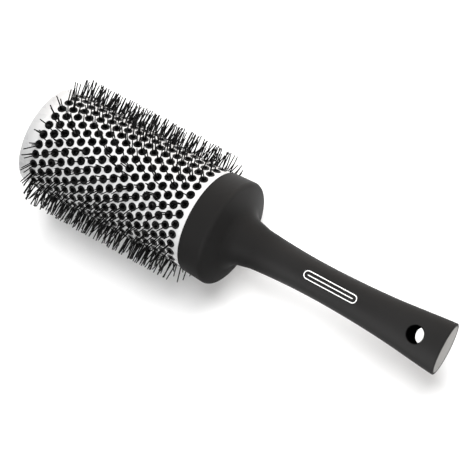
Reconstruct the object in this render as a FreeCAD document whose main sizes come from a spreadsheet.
import FreeCAD, Part
import math
import os
import Sketcher

"""Round barrel hair brush, 53 mm vented barrel, as a parametric FreeCAD document.

Frame: +X runs along the brush's long axis from the butt to the free end of the barrel, +Z runs
along the hanging hole, and the origin is the centre of the hanging hole on the long axis.
Millimetres. "Rear" is towards the butt, "front" towards the free end.

The soft grip is moulded over a hard core, whose cup and spigot carry the barrel. Inside the
perforated barrel, fifteen staves with round bosses stand in the barrel's holes round a slotted
carrier tube. Behind each stave lies a bristle set, whose tufts share a root web and pass out
through the bosses. One bolt clamps the tip cap, carrier and rear hub to the core.
"""

V = FreeCAD.Vector
doc = FreeCAD.newDocument("RoundBarrelBrush")

# ---------------------------------------------------------------- driving dimensions
# (alias, value). A text value is a formula on aliases above it.
# Names ending in _x are stations along the long axis, names ending in _deg are angles about it.
SIZES = [
    # clearances
    ("fit_gap", 0.05),  # close fits
    ("part_gap", 0.1),  # loose fits
    # barrel
    ("barrel_radius", 26.5),
    ("barrel_wall", 0.8),
    ("barrel_rear_x", 112.6),
    ("barrel_front_x", 224.1),
    ("barrel_round", 0.55),
    # staves round the barrel, two vents of each row to a stave
    ("stave_count", 15),
    ("vent_radius", 2.25),
    ("vent_pitch_x", 5.061),
    ("vent_first_x", 128.6),
    ("vent_rows", 18),
    ("vents_per_row", "=2 * stave_count"),
    ("vent_phase_deg", 8.61),
    # grip outer form, collar end
    ("rim_x", 123.7),
    ("rim_radius", 27.25),
    ("shoulder_x", 109.85),
    ("shoulder_radius", 28.05),
    ("throat_x", 104.8),
    ("throat_radius", 13.3),
    ("neck_x", 93.0),
    ("neck_radius", 10.75),
    ("shoulder_round", 2.4),
    ("throat_round", 9.0),
    ("rim_round", 0.3),
    ("skin", 1.2),
    # hanging hole and butt
    ("hang_radius", 4.2),
    ("hang_round", 0.8),
    ("butt_x", -14.8),
    ("butt_round", 0.6),
    # butt plug
    ("plug_seat_x", -11.4),
    ("plug_tongue_x", -8.4),
    ("plug_taper", 0.3),
    ("tongue_width_gap", 0.1),
    ("tongue_thick_gap", 0.05),
    # core
    ("throat_shift_x", 0.92),  # places the core's throat corner from the grip's
    ("throat_shift_radius", 0.17),
    ("inset_overrun", 0.4),  # how far the core's form and its cavity run past the butt
    ("cavity_overrun", 1.0),
    ("cup_floor_x", 112.4),
    ("flange_x", 110.0),
    ("flange_radius", 24.8),
    ("cup_radius", 26.3),
    ("core_wall", 2.0),
    ("cavity_end_x", 84.0),
    ("spigot_radius", 7.0),
    ("spigot_end_x", 118.4),
    ("pilot_radius", 2.3),
    ("pilot_end_x", 103.0),
    # threaded insert
    ("insert_radius", 2.8),
    ("insert_rear_x", 108.0),
    ("insert_front_x", 117.0),
    ("insert_gap", 0.01),
    ("insert_taper", 0.3),
    ("insert_taper_length", 1.5),
    ("insert_groove_rear", 3.6),  # from the insert's rear end
    ("insert_groove_front", 5.4),
    ("insert_groove_depth", 0.4),
    # bristle carrier's radii
    ("carrier_inner", 21.7),
    ("carrier_outer", 23.0),
    # rear hub
    ("hub_rear_x", "=cup_floor_x + fit_gap"),
    ("hub_step_x", 118.5),
    ("hub_front_x", 123.0),
    ("hub_radius", 25.62),
    ("hub_wall", 2.2),
    ("hub_trough", 2.0),
    ("hub_vents", 8),
    ("hub_vent_radius", 3.6),
    ("hub_vent_circle", 14.5),
    # tip cap
    ("cap_inner_x", 214.6),
    ("cap_seat_x", 219.6),
    ("cap_face_x", 222.4),
    ("cap_radius", "=barrel_radius - barrel_wall - part_gap"),
    ("cap_collar_outer", "=carrier_inner - part_gap"),
    ("cap_collar_inner", 20.1),
    ("cap_boss_radius", 6.2),
    ("cap_boss_x", 212.0),
    ("cap_vents", 12),
    ("cap_vent_radius", 2.6),
    ("cap_vent_circle", 14.8),
    ("cap_round", 0.8),
    # bristle carrier's length and slots
    ("carrier_rear_x", "=hub_step_x + part_gap"),
    ("carrier_front_x", "=cap_seat_x - part_gap"),
    ("carrier_slot_width", 3.0),
    ("carrier_slot_length", 17.0),
    ("carrier_slot_pitch", 23.0),
    ("carrier_slot_first_x", 134.5),
    ("carrier_slots_per_ring", 15),
    ("carrier_slot_rings", 4),
    # bolt and washer
    ("bolt_hole_radius", 2.15),
    ("bolt_radius", 1.95),
    ("bolt_end_x", 108.6),
    ("bolt_chamfer", 0.5),
    ("bolt_recess_radius", 4.9),
    ("bolt_recess_x", 219.9),
    ("washer_radius", 4.5),
    ("washer_gap", 0.15),
    ("washer_front_x", 220.7),
    ("bolt_head_radius", 3.5),
    ("bolt_head_x", 222.9),
    ("bolt_head_chamfer_x", 0.4),
    ("bolt_socket_flats", 2.5),
    ("bolt_socket_depth", 1.4),
    # staves
    ("stave_inner", 23.9),
    ("stave_outer", 24.8),
    ("stave_rear_x", "=carrier_rear_x + part_gap"),
    ("stave_front_x", "=carrier_front_x - part_gap"),
    ("stave_gap_deg", 0.3),
    ("edge_level_x", 1.2),  # half length of the level edge beside each vent
    ("boss_radius", 2.14),
    ("boss_top", 26.6),
    ("boss_foot", 24.65),
    ("tuft_bore", 1.3),
    ("tuft_bore_foot", 23.0),
    # bristle sets
    ("web_inner", "=carrier_outer + part_gap"),
    ("web_outer", "=stave_inner - part_gap"),
    ("web_rear_x", 125.6),
    ("web_front_x", 218.0),
    ("web_gap_deg", 0.5),
    ("tuft_foot", 23.68),
    ("tuft_root_radius", "=tuft_bore - part_gap"),
    ("tuft_throat", 26.8),
    ("tuft_tip_radius", 2.35),
    ("tuft_tip", 35.0),
]
# Handle sections from neck to butt: letter, station along X, half width (Y), half thickness (Z).
SECTIONS = [
    ("b", 87.4, 10.30, 10.18),
    ("c", 82.1, 9.91, 9.72),
    ("d", 71.6, 9.36, 9.08),
    ("e", 61.0, 9.10, 8.62),
    ("f", 50.4, 9.14, 8.26),
    ("g", 35.0, 9.60, 7.84),
    ("i", 18.6, 10.55, 7.48),
    ("j", 2.7, 12.04, 7.22),
    ("k", -7.9, 13.15, 7.08),
    ("l", "=butt_x", 13.70, 7.00),
]
LAST_SECTION = "l"
for letter, station, half_width, half_thick in SECTIONS:
    SIZES += [
        (f"sec_{letter}_x", station),
        (f"sec_{letter}_width", half_width),
        (f"sec_{letter}_thick", half_thick),
    ]

dims = doc.addObject("Spreadsheet::Sheet", "Dims")
for row, (alias, value) in enumerate(SIZES, start=1):
    dims.set(f"A{row}", alias)
    dims.set(f"B{row}", str(value))
    dims.setAlias(f"B{row}", alias)
doc.recompute()
SIZE = {alias: float(getattr(dims, alias)) for alias, _ in SIZES}


# ---------------------------------------------------------------- expressions on the sheet
# An expression is text made of aliases and numbers joined by " + ", " - " and " * ".
def value_of(expr):
    """Number an expression stands for."""
    terms = expr.replace(" - ", " + -1 * ").split(" + ")
    return sum(
        math.prod(SIZE[word] if word in SIZE else float(word) for word in term.split(" * "))
        for term in terms
    )


def on_sheet(expr):
    """The expression with its aliases read from the sheet."""
    return " ".join("Dims." + word if word in SIZE else word for word in expr.split())


def bind(obj, prop, expr):
    """Binds a length of an object to an expression."""
    obj.setExpression(prop, f"({on_sheet(expr)}) * 1 mm")


# ---------------------------------------------------------------- sketches
def origin_feature(body, role):
    return [f for f in body.Origin.OriginFeatures if f.Role == role][0]


def new_body(name):
    return doc.addObject("PartDesign::Body", name)


def sketch_on(body, name, role, offset=None):
    sketch = body.newObject("Sketcher::SketchObject", name)
    sketch.AttachmentSupport = [(origin_feature(body, role), "")]
    sketch.MapMode = "FlatFace"
    if offset is not None:
        bind(sketch, "AttachmentOffset.Base.z", offset)
    return sketch


def constrain(sketch, args, expr):
    """Adds a dimensional constraint that follows an expression."""
    index = sketch.addConstraint(Sketcher.Constraint(*args))
    sketch.setExpression(f"Constraints[{index}]", on_sheet(expr))


def pin(sketch, geometry, point, x_expr, y_expr):
    """Holds a point of a sketch's geometry at a place; -2 and -1 are the sketch's Y and X axes."""
    for kind, expr, axis in (("DistanceX", x_expr, -2), ("DistanceY", y_expr, -1)):
        value = value_of(expr)
        if abs(value) < 1e-9:
            sketch.addConstraint(Sketcher.Constraint("PointOnObject", geometry, point, axis))
        else:
            constrain(sketch, (kind, -1, 1, geometry, point, value), expr)


def polyline(sketch, points):
    """Closed polyline through (x expression, y expression) corners."""
    corners = [V(value_of(x), value_of(y), 0) for x, y in points]
    count = len(corners)
    for i in range(count):
        sketch.addGeometry(Part.LineSegment(corners[i], corners[(i + 1) % count]), False)
    for i in range(count):
        sketch.addConstraint(Sketcher.Constraint("Coincident", i, 2, (i + 1) % count, 1))
    for i, (x, y) in enumerate(points):
        pin(sketch, i, 1, x, y)


def circle(sketch, radius, centre_x="0"):
    """Circle centred on the sketch's X axis."""
    shape = Part.Circle(V(value_of(centre_x), 0, 0), V(0, 0, 1), value_of(radius))
    index = sketch.addGeometry(shape, False)
    pin(sketch, index, 3, centre_x, "0")
    constrain(sketch, ("Radius", index, value_of(radius)), radius)


def oval(sketch, half_width, half_thick):
    """Ellipse about the sketch's origin: half width along its X, half thickness along its Y."""
    a, b = value_of(half_width), value_of(half_thick)
    index = sketch.addGeometry(Part.Ellipse(V(a, 0, 0), V(0, b, 0), V(0, 0, 0)), False)
    sketch.exposeInternalGeometry(index)  # adds the long and short diameters as the next two lines
    sketch.addConstraint(Sketcher.Constraint("Coincident", index, 3, -1, 1))
    sketch.addConstraint(Sketcher.Constraint("PointOnObject", index + 1, 1, -1))
    for line, half, expr in ((index + 1, a, half_width), (index + 2, b, half_thick)):
        number = sketch.addConstraint(Sketcher.Constraint("Distance", line, 2 * half))
        sketch.setExpression(f"Constraints[{number}]", f"2 * ({on_sheet(expr)})")


# ---------------------------------------------------------------- features of a body
def revolve(body, name, points):
    """Turns a closed (x, radius) profile round the long axis."""
    sketch = sketch_on(body, name + "_profile", "XY_Plane")
    polyline(sketch, points)
    feature = body.newObject("PartDesign::Revolution", name)
    feature.Profile = sketch
    feature.ReferenceAxis = (sketch, ["H_Axis"])
    feature.Angle = 360
    doc.recompute()
    return feature


def loft(body, name, sections, ruled=False):
    doc.recompute()
    feature = body.newObject("PartDesign::AdditiveLoft", name)
    feature.Profile = sections[0]
    feature.Sections = [(section, [""]) for section in sections[1:]]
    feature.Ruled = ruled
    doc.recompute()
    return feature


def pocket(body, name, sketch, depth):
    """Cuts a sketch to a depth against its normal. A pocket that misses the body is an error."""
    doc.recompute()
    before = body.Shape.Volume
    feature = body.newObject("PartDesign::Pocket", name)
    feature.Profile = sketch
    feature.Type = "Length"
    feature.Length = value_of(depth)
    bind(feature, "Length", depth)
    doc.recompute()
    if body.Shape.Volume >= before - 1e-6:
        raise RuntimeError(name + " cut nothing")
    return feature


def polar_pattern(body, name, count):
    """Full ring of copies round the long axis; the caller says what it repeats."""
    pattern = body.newObject("PartDesign::PolarPattern", name)
    pattern.Axis = (origin_feature(body, "X_Axis"), [""])
    pattern.Angle = 360
    pattern.Occurrences = int(SIZE[count])
    return pattern


def vent_ring(body, name, station, depth):
    """Ring of round vents cut rearwards from a station; sized by the part's own dimensions."""
    sketch = sketch_on(body, name + "_vent_sketch", "YZ_Plane", station)
    circle(sketch, name + "_vent_radius", name + "_vent_circle")
    vent = pocket(body, name + "_vent", sketch, depth)
    ring = polar_pattern(body, name + "_vents", name + "_vents")
    ring.Originals = [vent]
    body.Tip = ring
    doc.recompute()


def is_ring(edge, x, radius, tolerance=0.02):
    """A circle about the long axis at station x."""
    curve = edge.Curve
    return (
        curve.TypeId == "Part::GeomCircle"
        and abs(curve.Center.x - x) < tolerance
        and math.hypot(curve.Center.y, curve.Center.z) < tolerance
        and abs(curve.Radius - radius) < tolerance
    )


def on_butt_face(edge):
    box = edge.BoundBox
    return abs(box.XMin - SIZE["butt_x"]) < 1e-3 and abs(box.XMax - SIZE["butt_x"]) < 1e-3


def on_hang_hole_mouth(edge):
    """Lies on the hanging hole's wall and runs round it, not along it."""
    first, span = edge.FirstParameter, edge.LastParameter - edge.FirstParameter
    points = [edge.valueAt(first + span * k / 8.0) for k in range(9)]
    heights = [p.z for p in points]
    on_wall = all(abs(math.hypot(p.x, p.y) - SIZE["hang_radius"]) < 0.01 for p in points)
    return on_wall and max(heights) - min(heights) < 3.0


def fillet(body, name, base, edge_test, radius):
    """Rounds the edges of a feature that pass a test."""
    edges = [f"Edge{i}" for i, edge in enumerate(base.Shape.Edges, start=1) if edge_test(edge)]
    if not edges:
        raise RuntimeError(name + ": no edge found to round")
    feature = body.newObject("PartDesign::Fillet", name)
    feature.Base = (base, edges)
    feature.Radius = value_of(radius)
    bind(feature, "Radius", radius)
    doc.recompute()
    return feature


def fillet_ring(body, name, base, corner, radius):
    """Rounds the ring turned by one (x, radius) corner of a profile."""
    x, ring_radius = value_of(corner[0]), value_of(corner[1])
    return fillet(body, name, base, lambda edge: is_ring(edge, x, ring_radius), radius)


# ---------------------------------------------------------------- objects outside bodies
def cylinder_along_x(name, radius, x, length):
    cylinder = doc.addObject("Part::Cylinder", name)
    bind(cylinder, "Radius", radius)
    bind(cylinder, "Height", length)
    bind(cylinder, "Placement.Base.x", x)
    cylinder.Placement.Rotation = FreeCAD.Rotation(V(0, 1, 0), 90)
    return cylinder


def combine(kind, name, base, tool):
    """Boolean of two objects; the kind is Cut or Fuse."""
    result = doc.addObject("Part::" + kind, name)
    result.Base = base
    result.Tool = tool
    return result


def plain_shape(name, shape):
    feature = doc.addObject("Part::Feature", name)
    feature.Shape = shape
    return feature


# ---------------------------------------------------------------- handle forms
# Collar profiles as (x, radius), from the axis at the neck out and round to the axis at the front.
OUTER_COLLAR = [
    ("neck_x", "0"),
    ("neck_x", "neck_radius"),
    ("throat_x", "throat_radius"),
    ("shoulder_x", "shoulder_radius"),
    ("rim_x", "rim_radius"),
    ("rim_x", "0"),
]
INSET_COLLAR = [
    ("neck_x", "0"),
    ("neck_x", "neck_radius - skin"),
    ("throat_x + throat_shift_x", "throat_radius - skin + throat_shift_radius"),
    ("flange_x", "flange_radius"),
    ("cup_floor_x", "cup_radius"),
    ("cup_floor_x", "0"),
]
# Rounded corners of each collar: name, index in the profile, radius.
OUTER_ROUNDS = [
    ("throat", 2, "throat_round"),
    ("shoulder", 3, "shoulder_round"),
    ("rim", 4, "rim_round"),
]
INSET_ROUNDS = [("throat", 2, "throat_round + skin")]


def handle_sections(body, prefix, inset="", overrun="", end="neck_x"):
    """Oval sketches at the stations up to an end. Inset and overrun are added expression text."""
    sketches = []
    for letter, *_ in SECTIONS:
        section = "sec_" + letter
        station = section + "_x"
        if SIZE[station] > SIZE[end]:
            continue
        if letter == LAST_SECTION:
            station += overrun
        sketch = sketch_on(body, f"{prefix}_section_{letter}", "YZ_Plane", station)
        oval(sketch, section + "_width" + inset, section + "_thick" + inset)
        sketches.append(sketch)
    return sketches


def grip_form(name, collar, rounds, inset="", overrun=""):
    """Collar, handle and hanging hole in one body. Returns the body and its last feature."""
    body = new_body(name)
    last = revolve(body, name + "_collar", collar)
    for corner_name, index, radius in rounds:
        last = fillet_ring(body, f"{name}_{corner_name}_round", last, collar[index], radius)

    # The handle runs into the neck cone: its first section is the cone's own starting circle.
    neck = sketch_on(body, name + "_section_a", "YZ_Plane", "neck_x")
    circle(neck, "neck_radius" + inset)
    loft(body, name + "_handle", [neck] + handle_sections(body, name, inset, overrun))

    sketch = sketch_on(body, name + "_hang_hole_sketch", "XY_Plane")
    circle(sketch, "hang_radius" + inset.replace("-", "+"))
    hole = body.newObject("PartDesign::Pocket", name + "_hang_hole")
    hole.Profile = sketch
    hole.Type = "ThroughAll"
    hole.Midplane = True
    doc.recompute()
    return body, hole


def make_outer_form():
    """The grip's outside, with the hanging hole's mouths and the butt's edge rounded."""
    name = "grip_outer_form"
    body, last = grip_form(name, OUTER_COLLAR, OUTER_ROUNDS)
    last = fillet(body, name + "_hang_round", last, on_hang_hole_mouth, "hang_round")
    last = fillet(body, name + "_butt_round", last, on_butt_face, "butt_round")
    body.Tip = last
    doc.recompute()
    return body


def make_inset_form():
    """The core's outside, set in from the grip by the skin."""
    body, last = grip_form(
        "grip_inset_form", INSET_COLLAR, INSET_ROUNDS, " - skin", " - inset_overrun"
    )
    body.Tip = last
    doc.recompute()
    return body


# ---------------------------------------------------------------- grip and core
def make_grip_overmould(outer_form, inset_form):
    """Soft skin over the core, its skirt bored to clear the barrel."""
    skirt_bore = cylinder_along_x(
        "skirt_bore", "barrel_radius + fit_gap", "cup_floor_x", "rim_x - cup_floor_x + 5"
    )
    step = combine("Cut", "overmould_step", outer_form, inset_form)
    return combine("Cut", "grip_overmould", step, skirt_bore)


def make_cavity():
    """Hollow of the handle, less a solid post round the hanging hole."""
    body = new_body("core_cavity_form")
    inset = " - skin - core_wall"
    sections = handle_sections(body, "cavity", inset, " - cavity_overrun", "cavity_end_x")
    loft(body, "cavity_loft", sections)

    post = doc.addObject("Part::Cylinder", "hang_hole_boss")
    bind(post, "Radius", "hang_radius + skin + 0.7 * core_wall")
    post.Height = 20
    post.Placement.Base = V(0, 0, -10)
    return combine("Cut", "cavity_less_boss", body, post)


def make_butt_trim():
    """Block that cuts the core back to the butt plug's seat."""
    block = doc.addObject("Part::Box", "butt_trim")
    block.Length = 10
    block.Width = 40
    block.Height = 40
    bind(block, "Placement.Base.x", "plug_seat_x - 10")
    block.Placement.Base.y = -20
    block.Placement.Base.z = -20
    return block


def make_handle_core(inset_form):
    """Hollow core with the spigot in its cup, bored for the insert and the bolt's end."""
    cavity = make_cavity()
    butt_trim = make_butt_trim()
    # The spigot starts below the cup floor, and each bore runs on past the face it opens.
    spigot = cylinder_along_x(
        "spigot", "spigot_radius", "cup_floor_x - 2", "spigot_end_x - cup_floor_x + 2"
    )
    insert_seat = cylinder_along_x(
        "insert_seat", "insert_radius", "insert_rear_x", "spigot_end_x - insert_rear_x + 1"
    )
    pilot_bore = cylinder_along_x(
        "pilot_bore", "pilot_radius", "pilot_end_x", "insert_rear_x - pilot_end_x + 1"
    )
    core = combine("Fuse", "core_with_spigot", inset_form, spigot)
    for k, tool in enumerate((cavity, butt_trim, insert_seat, pilot_bore)):
        core = combine("Cut", f"core_cut_{k}", core, tool)
    return core


def make_butt_plug():
    """Oval head that closes the butt, with a tongue reaching into the cavity."""
    body = new_body("butt_plug_body")
    width = "sec_l_width - skin - fit_gap"
    thick = "sec_l_thick - skin - fit_gap"
    face = sketch_on(body, "plug_face_sketch", "YZ_Plane", "butt_x")
    oval(face, width, thick)
    seat = sketch_on(body, "plug_seat_sketch", "YZ_Plane", "plug_seat_x")
    oval(seat, width + " - plug_taper", thick)
    loft(body, "plug_head", [face, seat], ruled=True)

    sketch = sketch_on(body, "plug_tongue_sketch", "YZ_Plane", "plug_seat_x")
    oval(
        sketch,
        "sec_k_width - skin - core_wall - fit_gap - tongue_width_gap",
        "sec_k_thick - skin - core_wall - fit_gap - tongue_thick_gap",
    )
    tongue = body.newObject("PartDesign::Pad", "plug_tongue")
    tongue.Profile = sketch
    bind(tongue, "Length", "plug_tongue_x - plug_seat_x")
    doc.recompute()
    fillet(body, "plug_edge_round", tongue, on_butt_face, "rim_round")
    return body


# ---------------------------------------------------------------- turned parts
def make_threaded_insert():
    """Bushing with a tapered rear end and a groove round its outside."""
    body = new_body("threaded_insert_body")
    bore = "bolt_radius + fit_gap"
    outside = "insert_radius - insert_gap"
    groove = "insert_radius - insert_groove_depth"
    groove_rear = "insert_rear_x + insert_groove_rear"
    groove_front = "insert_rear_x + insert_groove_front"
    profile = [
        ("insert_rear_x", bore),
        ("insert_rear_x", "insert_radius - insert_taper"),
        ("insert_rear_x + insert_taper_length", outside),
        (groove_rear, outside),
        (groove_rear, groove),
        (groove_front, groove),
        (groove_front, outside),
        ("insert_front_x", outside),
        ("insert_front_x", bore),
    ]
    revolve(body, "insert_turning", profile)
    return body


def make_rear_hub():
    """Vented disc on the spigot, with a rim that enters the carrier."""
    body = new_body("rear_hub_body")
    bore = "spigot_radius + fit_gap"
    rim_outer = "carrier_inner - fit_gap"
    rim_inner = "carrier_inner - hub_wall"
    sleeve = "spigot_radius + hub_wall"
    trough_x = "hub_step_x - hub_trough"
    profile = [
        ("hub_rear_x", bore),
        ("hub_rear_x", "hub_radius"),
        ("hub_step_x", "hub_radius"),
        ("hub_step_x", rim_outer),
        ("hub_front_x", rim_outer),
        ("hub_front_x", rim_inner),
        (trough_x, rim_inner),
        (trough_x, sleeve),
        ("hub_step_x", sleeve),
        ("hub_step_x", bore),
    ]
    revolve(body, "hub_turning", profile)
    vent_ring(body, "hub", "hub_step_x", "hub_step_x - hub_rear_x + 1")
    return body


def make_bristle_carrier():
    """Tube with rings of lengthwise slots."""
    body = new_body("bristle_carrier_body")
    profile = [
        ("carrier_rear_x", "carrier_inner"),
        ("carrier_rear_x", "carrier_outer"),
        ("carrier_front_x", "carrier_outer"),
        ("carrier_front_x", "carrier_inner"),
    ]
    revolve(body, "carrier_tube", profile)

    slot_front = "carrier_slot_first_x + carrier_slot_length"
    low, high = "-0.5 * carrier_slot_width", "0.5 * carrier_slot_width"
    sketch = sketch_on(body, "carrier_slot_sketch", "XY_Plane", "carrier_outer + 1")
    polyline(
        sketch,
        [
            ("carrier_slot_first_x", low),
            (slot_front, low),
            (slot_front, high),
            ("carrier_slot_first_x", high),
        ],
    )
    slot = pocket(body, "carrier_slot", sketch, "carrier_outer - carrier_inner + 3")

    slots = body.newObject("PartDesign::MultiTransform", "carrier_slots")
    ring = polar_pattern(body, "carrier_slots_polar", "carrier_slots_per_ring")
    line = body.newObject("PartDesign::LinearPattern", "carrier_slots_linear")
    line.Direction = (origin_feature(body, "X_Axis"), [""])
    line.Mode = "Spacing"
    bind(line, "Offset", "carrier_slot_pitch")
    line.Occurrences = int(SIZE["carrier_slot_rings"])
    slots.Originals = [slot]
    slots.Transformations = [ring, line]
    body.Tip = slots
    doc.recompute()
    return body


def make_tip_cap():
    """Vented end disc with a collar inside the carrier and a boss round the bolt."""
    body = new_body("tip_cap_body")
    profile = [
        ("cap_boss_x", "bolt_hole_radius"),
        ("cap_boss_x", "cap_boss_radius"),
        ("cap_seat_x", "cap_boss_radius"),
        ("cap_seat_x", "cap_collar_inner"),
        ("cap_inner_x", "cap_collar_inner"),
        ("cap_inner_x", "cap_collar_outer"),
        ("cap_seat_x", "cap_collar_outer"),
        ("cap_seat_x", "cap_radius"),
        ("cap_face_x", "cap_radius"),
        ("cap_face_x", "bolt_recess_radius"),
        ("bolt_recess_x", "bolt_recess_radius"),
        ("bolt_recess_x", "bolt_hole_radius"),
    ]
    turning = revolve(body, "cap_turning", profile)
    fillet_ring(body, "cap_edge_round", turning, ("cap_face_x", "cap_radius"), "cap_round")
    vent_ring(body, "cap", "cap_face_x", "cap_face_x - cap_seat_x + 1")
    return body


def hexagon(sketch, flats):
    """Regular hexagon about the sketch's origin, one corner on its X axis, sized across flats."""
    radius = SIZE[flats] / math.sqrt(3)
    angles = [math.radians(60 * k) for k in range(7)]
    corners = [V(radius * math.cos(a), radius * math.sin(a), 0) for a in angles]
    for start, end in zip(corners, corners[1:]):
        sketch.addGeometry(Part.LineSegment(start, end), False)
    guide = sketch.addGeometry(Part.Circle(V(0, 0, 0), V(0, 0, 1), radius), True)
    sketch.addConstraint(Sketcher.Constraint("Coincident", guide, 3, -1, 1))
    for k in range(6):
        sketch.addConstraint(Sketcher.Constraint("Coincident", k, 2, (k + 1) % 6, 1))
        sketch.addConstraint(Sketcher.Constraint("PointOnObject", k, 1, guide))
    for k in range(1, 6):
        sketch.addConstraint(Sketcher.Constraint("Equal", 0, k))
    sketch.addConstraint(Sketcher.Constraint("PointOnObject", 0, 1, -1))
    index = sketch.addConstraint(Sketcher.Constraint("Radius", guide, radius))
    sketch.setExpression(f"Constraints[{index}]", f"Dims.{flats} / sqrt(3)")


def make_tie_bolt():
    """Plain shank and chamfered head with a hexagon socket."""
    body = new_body("tie_bolt_body")
    profile = [
        ("bolt_end_x", "0"),
        ("bolt_end_x", "bolt_radius - bolt_chamfer"),
        ("bolt_end_x + bolt_chamfer", "bolt_radius"),
        ("washer_front_x", "bolt_radius"),
        ("washer_front_x", "bolt_head_radius"),
        ("bolt_head_x - bolt_head_chamfer_x", "bolt_head_radius"),
        ("bolt_head_x", "bolt_head_radius - bolt_chamfer"),
        ("bolt_head_x", "0"),
    ]
    revolve(body, "bolt_turning", profile)
    sketch = sketch_on(body, "bolt_socket_sketch", "YZ_Plane", "bolt_head_x")
    hexagon(sketch, "bolt_socket_flats")
    pocket(body, "bolt_socket", sketch, "bolt_socket_depth")
    return body


def make_bolt_washer():
    body = new_body("bolt_washer_body")
    bore = "bolt_radius + washer_gap"
    profile = [
        ("bolt_recess_x", bore),
        ("bolt_recess_x", "washer_radius"),
        ("washer_front_x", "washer_radius"),
        ("washer_front_x", bore),
    ]
    revolve(body, "washer_turning", profile)
    return body


# ---------------------------------------------------------------- vent pattern
ROWS = int(SIZE["vent_rows"])
PER_ROW = int(SIZE["vents_per_row"])
STAVES = int(SIZE["stave_count"])
STEP = 360.0 / PER_ROW  # degrees between the vents of a row
SPAN = 360.0 / STAVES  # degrees taken by one stave
VENT_TOOL_LENGTH = 6.0
BORE_TOOL_LENGTH = 6.0


def row_places(first_row, end_row):
    """(x, turn in degrees) of each row. Odd rows are turned by half a step."""
    for i in range(first_row, end_row):
        yield SIZE["vent_first_x"] + i * SIZE["vent_pitch_x"], 0.5 * STEP * (i % 2)


def vent_places(per_row, phase=0.0):
    """(x, angle in degrees) of the first vents of every row."""
    for x, turn in row_places(0, ROWS):
        for j in range(per_row):
            yield x, j * STEP + turn + phase


def radial(angle):
    """Unit vector at an angle about +X, counted from +Z by the right-hand rule."""
    a = math.radians(angle)
    return V(0, -math.sin(a), math.cos(a))


def radial_pins(places, radius, foot, length):
    """Compound of cylinders standing outwards from a distance off the long axis."""
    return Part.makeCompound(
        [
            Part.makeCylinder(radius, length, V(x, 0, 0) + radial(angle) * foot, radial(angle))
            for x, angle in places
        ]
    )


def make_barrel_tube():
    """Thin tube with a rounded front edge and staggered rows of vents."""
    blank = cylinder_along_x(
        "barrel_blank", "barrel_radius", "barrel_rear_x", "barrel_front_x - barrel_rear_x"
    )
    doc.recompute()
    rounded = doc.addObject("Part::Fillet", "barrel_rounded")
    rounded.Base = blank
    rounded.Edges = [
        (i, SIZE["barrel_round"], SIZE["barrel_round"])
        for i, edge in enumerate(blank.Shape.Edges, start=1)
        if is_ring(edge, SIZE["barrel_front_x"], SIZE["barrel_radius"])
    ]
    bore = cylinder_along_x(
        "barrel_bore",
        "barrel_radius - barrel_wall",
        "barrel_rear_x - 2",
        "barrel_front_x - barrel_rear_x + 4",
    )
    plain = combine("Cut", "barrel_plain", rounded, bore)
    doc.recompute()
    vents = radial_pins(
        vent_places(PER_ROW, SIZE["vent_phase_deg"]),
        SIZE["vent_radius"],
        SIZE["barrel_radius"] - 0.5 * VENT_TOOL_LENGTH,
        VENT_TOOL_LENGTH,
    )
    return combine("Cut", "barrel_tube_cut", plain, plain_shape("barrel_vent_tools", vents))


# ---------------------------------------------------------------- stave and bristle set masters
def clip(side, rear_x, front_x):
    """Part of a side's (x, angle) line between two stations, with points added at both."""
    kept = []
    for (xa, angle_a), (xb, angle_b) in zip(side, side[1:]):
        for x in (rear_x, front_x):
            if xa < x < xb:
                kept.append((x, angle_a + (angle_b - angle_a) * (x - xa) / (xb - xa)))
        if rear_x < xb < front_x:
            kept.append((xb, angle_b))
    return sorted(kept)


def stave_outline(rear_x, front_x, gap):
    """Stepped outline of one stave as (x, angle) corners, drawn in by a gap in degrees.

    It passes midway between the vents of each row, level beside each vent and slanting between
    rows. Rows added past both ends carry the pattern to the clipped ends.
    """
    low, high = [], []
    for x, turn in row_places(-3, ROWS + 3):
        for level in (-SIZE["edge_level_x"], SIZE["edge_level_x"]):
            low.append((x + level, -0.5 * STEP + turn + gap))
            high.append((x + level, SPAN - 0.5 * STEP + turn - gap))
    return clip(low, rear_x, front_x) + clip(high, rear_x, front_x)[::-1]


def flat_strip(part):
    """Flat strip of a stave or web, square to the stave's middle, inside the stepped outline."""
    inner = SIZE[part + "_inner"]
    thickness = SIZE[part + "_outer"] - inner
    middle = 0.5 * SPAN - 0.25 * STEP
    outline = stave_outline(
        SIZE[part + "_rear_x"], SIZE[part + "_front_x"], SIZE[part + "_gap_deg"]
    )
    corners = [V(x, -math.tan(math.radians(a - middle)) * inner, inner) for x, a in outline]
    wire = Part.makePolygon(corners + [corners[0]])
    strip = Part.Face(wire).extrude(V(0, 0, thickness))
    strip.rotate(V(0, 0, 0), V(1, 0, 0), middle)
    return plain_shape(part + "_plate", strip)


def make_stave_master():
    """Strip with a bored boss for each of its vents."""
    plate = flat_strip("stave")
    boss_height = SIZE["boss_top"] - SIZE["boss_foot"]
    bosses = radial_pins(vent_places(2), SIZE["boss_radius"], SIZE["boss_foot"], boss_height)
    bores = radial_pins(
        vent_places(2), SIZE["tuft_bore"], SIZE["tuft_bore_foot"], BORE_TOOL_LENGTH
    )
    fused = combine("Fuse", "stave_fused", plate, plain_shape("stave_bosses", bosses))
    return combine("Cut", "stave_master", fused, plain_shape("stave_bores", bores))


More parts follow.
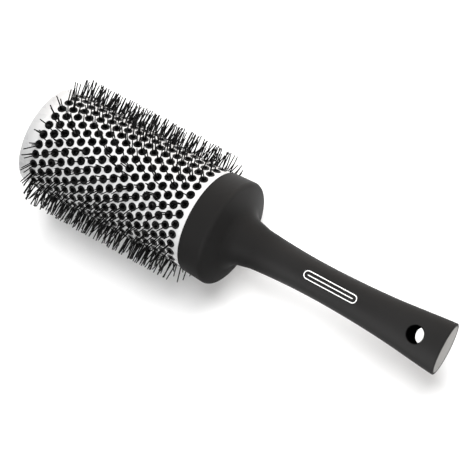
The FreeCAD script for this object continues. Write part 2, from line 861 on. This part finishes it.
def tuft(x, angle):
    """One tuft: a straight root that flares to its tip."""
    profile = Part.makePolygon(
        [
            V(0, 0, SIZE["tuft_foot"]),
            V(SIZE["tuft_root_radius"], 0, SIZE["tuft_foot"]),
            V(SIZE["tuft_root_radius"], 0, SIZE["tuft_throat"]),
            V(SIZE["tuft_tip_radius"], 0, SIZE["tuft_tip"]),
            V(0, 0, SIZE["tuft_tip"]),
            V(0, 0, SIZE["tuft_foot"]),
        ]
    )
    solid = Part.Face(profile).revolve(V(0, 0, 0), V(0, 0, 1), 360)
    solid.rotate(V(0, 0, 0), V(1, 0, 0), angle)
    solid.translate(V(x, 0, 0))
    return solid


def make_set_master():
    """Root web fused with a tuft for each vent of a stave."""
    web = flat_strip("web")
    tufts = Part.makeCompound([tuft(x, angle) for x, angle in vent_places(2)])
    return combine("Fuse", "bristle_set_master", web, plain_shape("tuft_forms", tufts))


def turned_copy(name, master, k):
    """The master turned about the long axis to the k-th place round the barrel."""
    copy = doc.addObject("Part::Compound", name)
    copy.Links = [master]
    turn = FreeCAD.Rotation(V(1, 0, 0), SPAN * k + SIZE["vent_phase_deg"])
    copy.Placement = FreeCAD.Placement(V(0, 0, 0), turn)
    copy.setExpression(
        "Placement.Rotation.Angle",
        f"({k} * 360 / Dims.stave_count + Dims.vent_phase_deg) * 1 deg",
    )
    return copy


# ---------------------------------------------------------------- assembly
def build():
    """Makes every piece and returns them by name."""
    outer_form = make_outer_form()
    inset_form = make_inset_form()
    pieces = {
        "grip_overmould": make_grip_overmould(outer_form, inset_form),
        "handle_core": make_handle_core(inset_form),
        "butt_plug": make_butt_plug(),
        "threaded_insert": make_threaded_insert(),
        "rear_hub": make_rear_hub(),
        "bristle_carrier": make_bristle_carrier(),
        "tip_cap": make_tip_cap(),
        "tie_bolt": make_tie_bolt(),
        "bolt_washer": make_bolt_washer(),
        "barrel_tube": make_barrel_tube(),
    }
    stave_master = make_stave_master()
    set_master = make_set_master()
    doc.recompute()
    for k in range(STAVES):
        number = f"{k + 1:02d}"
        pieces["bristle_stave_" + number] = turned_copy("stave_" + number, stave_master, k)
        pieces["bristle_set_" + number] = turned_copy("set_" + number, set_master, k)
    doc.recompute()
    return pieces


def check(pieces):
    """Stops on a failed object or a piece without a valid solid."""
    for obj in doc.Objects:
        bad = [state for state in obj.State if state in ("Invalid", "Error")]
        if bad:
            raise RuntimeError(f"{obj.Name} failed: {bad}")
    for name, obj in pieces.items():
        shape = obj.Shape
        if shape.isNull() or not shape.isValid() or not shape.Solids:
            raise RuntimeError(name + " has no valid shape")


def export(pieces):
    """Writes one STEP file for each piece, in place of any old ones."""
    os.makedirs("parts", exist_ok=True)
    for old in os.listdir("parts"):
        if old.endswith(".step"):
            os.remove(os.path.join("parts", old))
    for name, obj in pieces.items():
        solids = obj.Shape.Solids
        shape = solids[0] if len(solids) == 1 else Part.makeCompound(solids)
        shape.exportStep(os.path.join("parts", name + ".step"))


pieces = build()
for name, obj in pieces.items():
    obj.Label = name
check(pieces)
export(pieces)
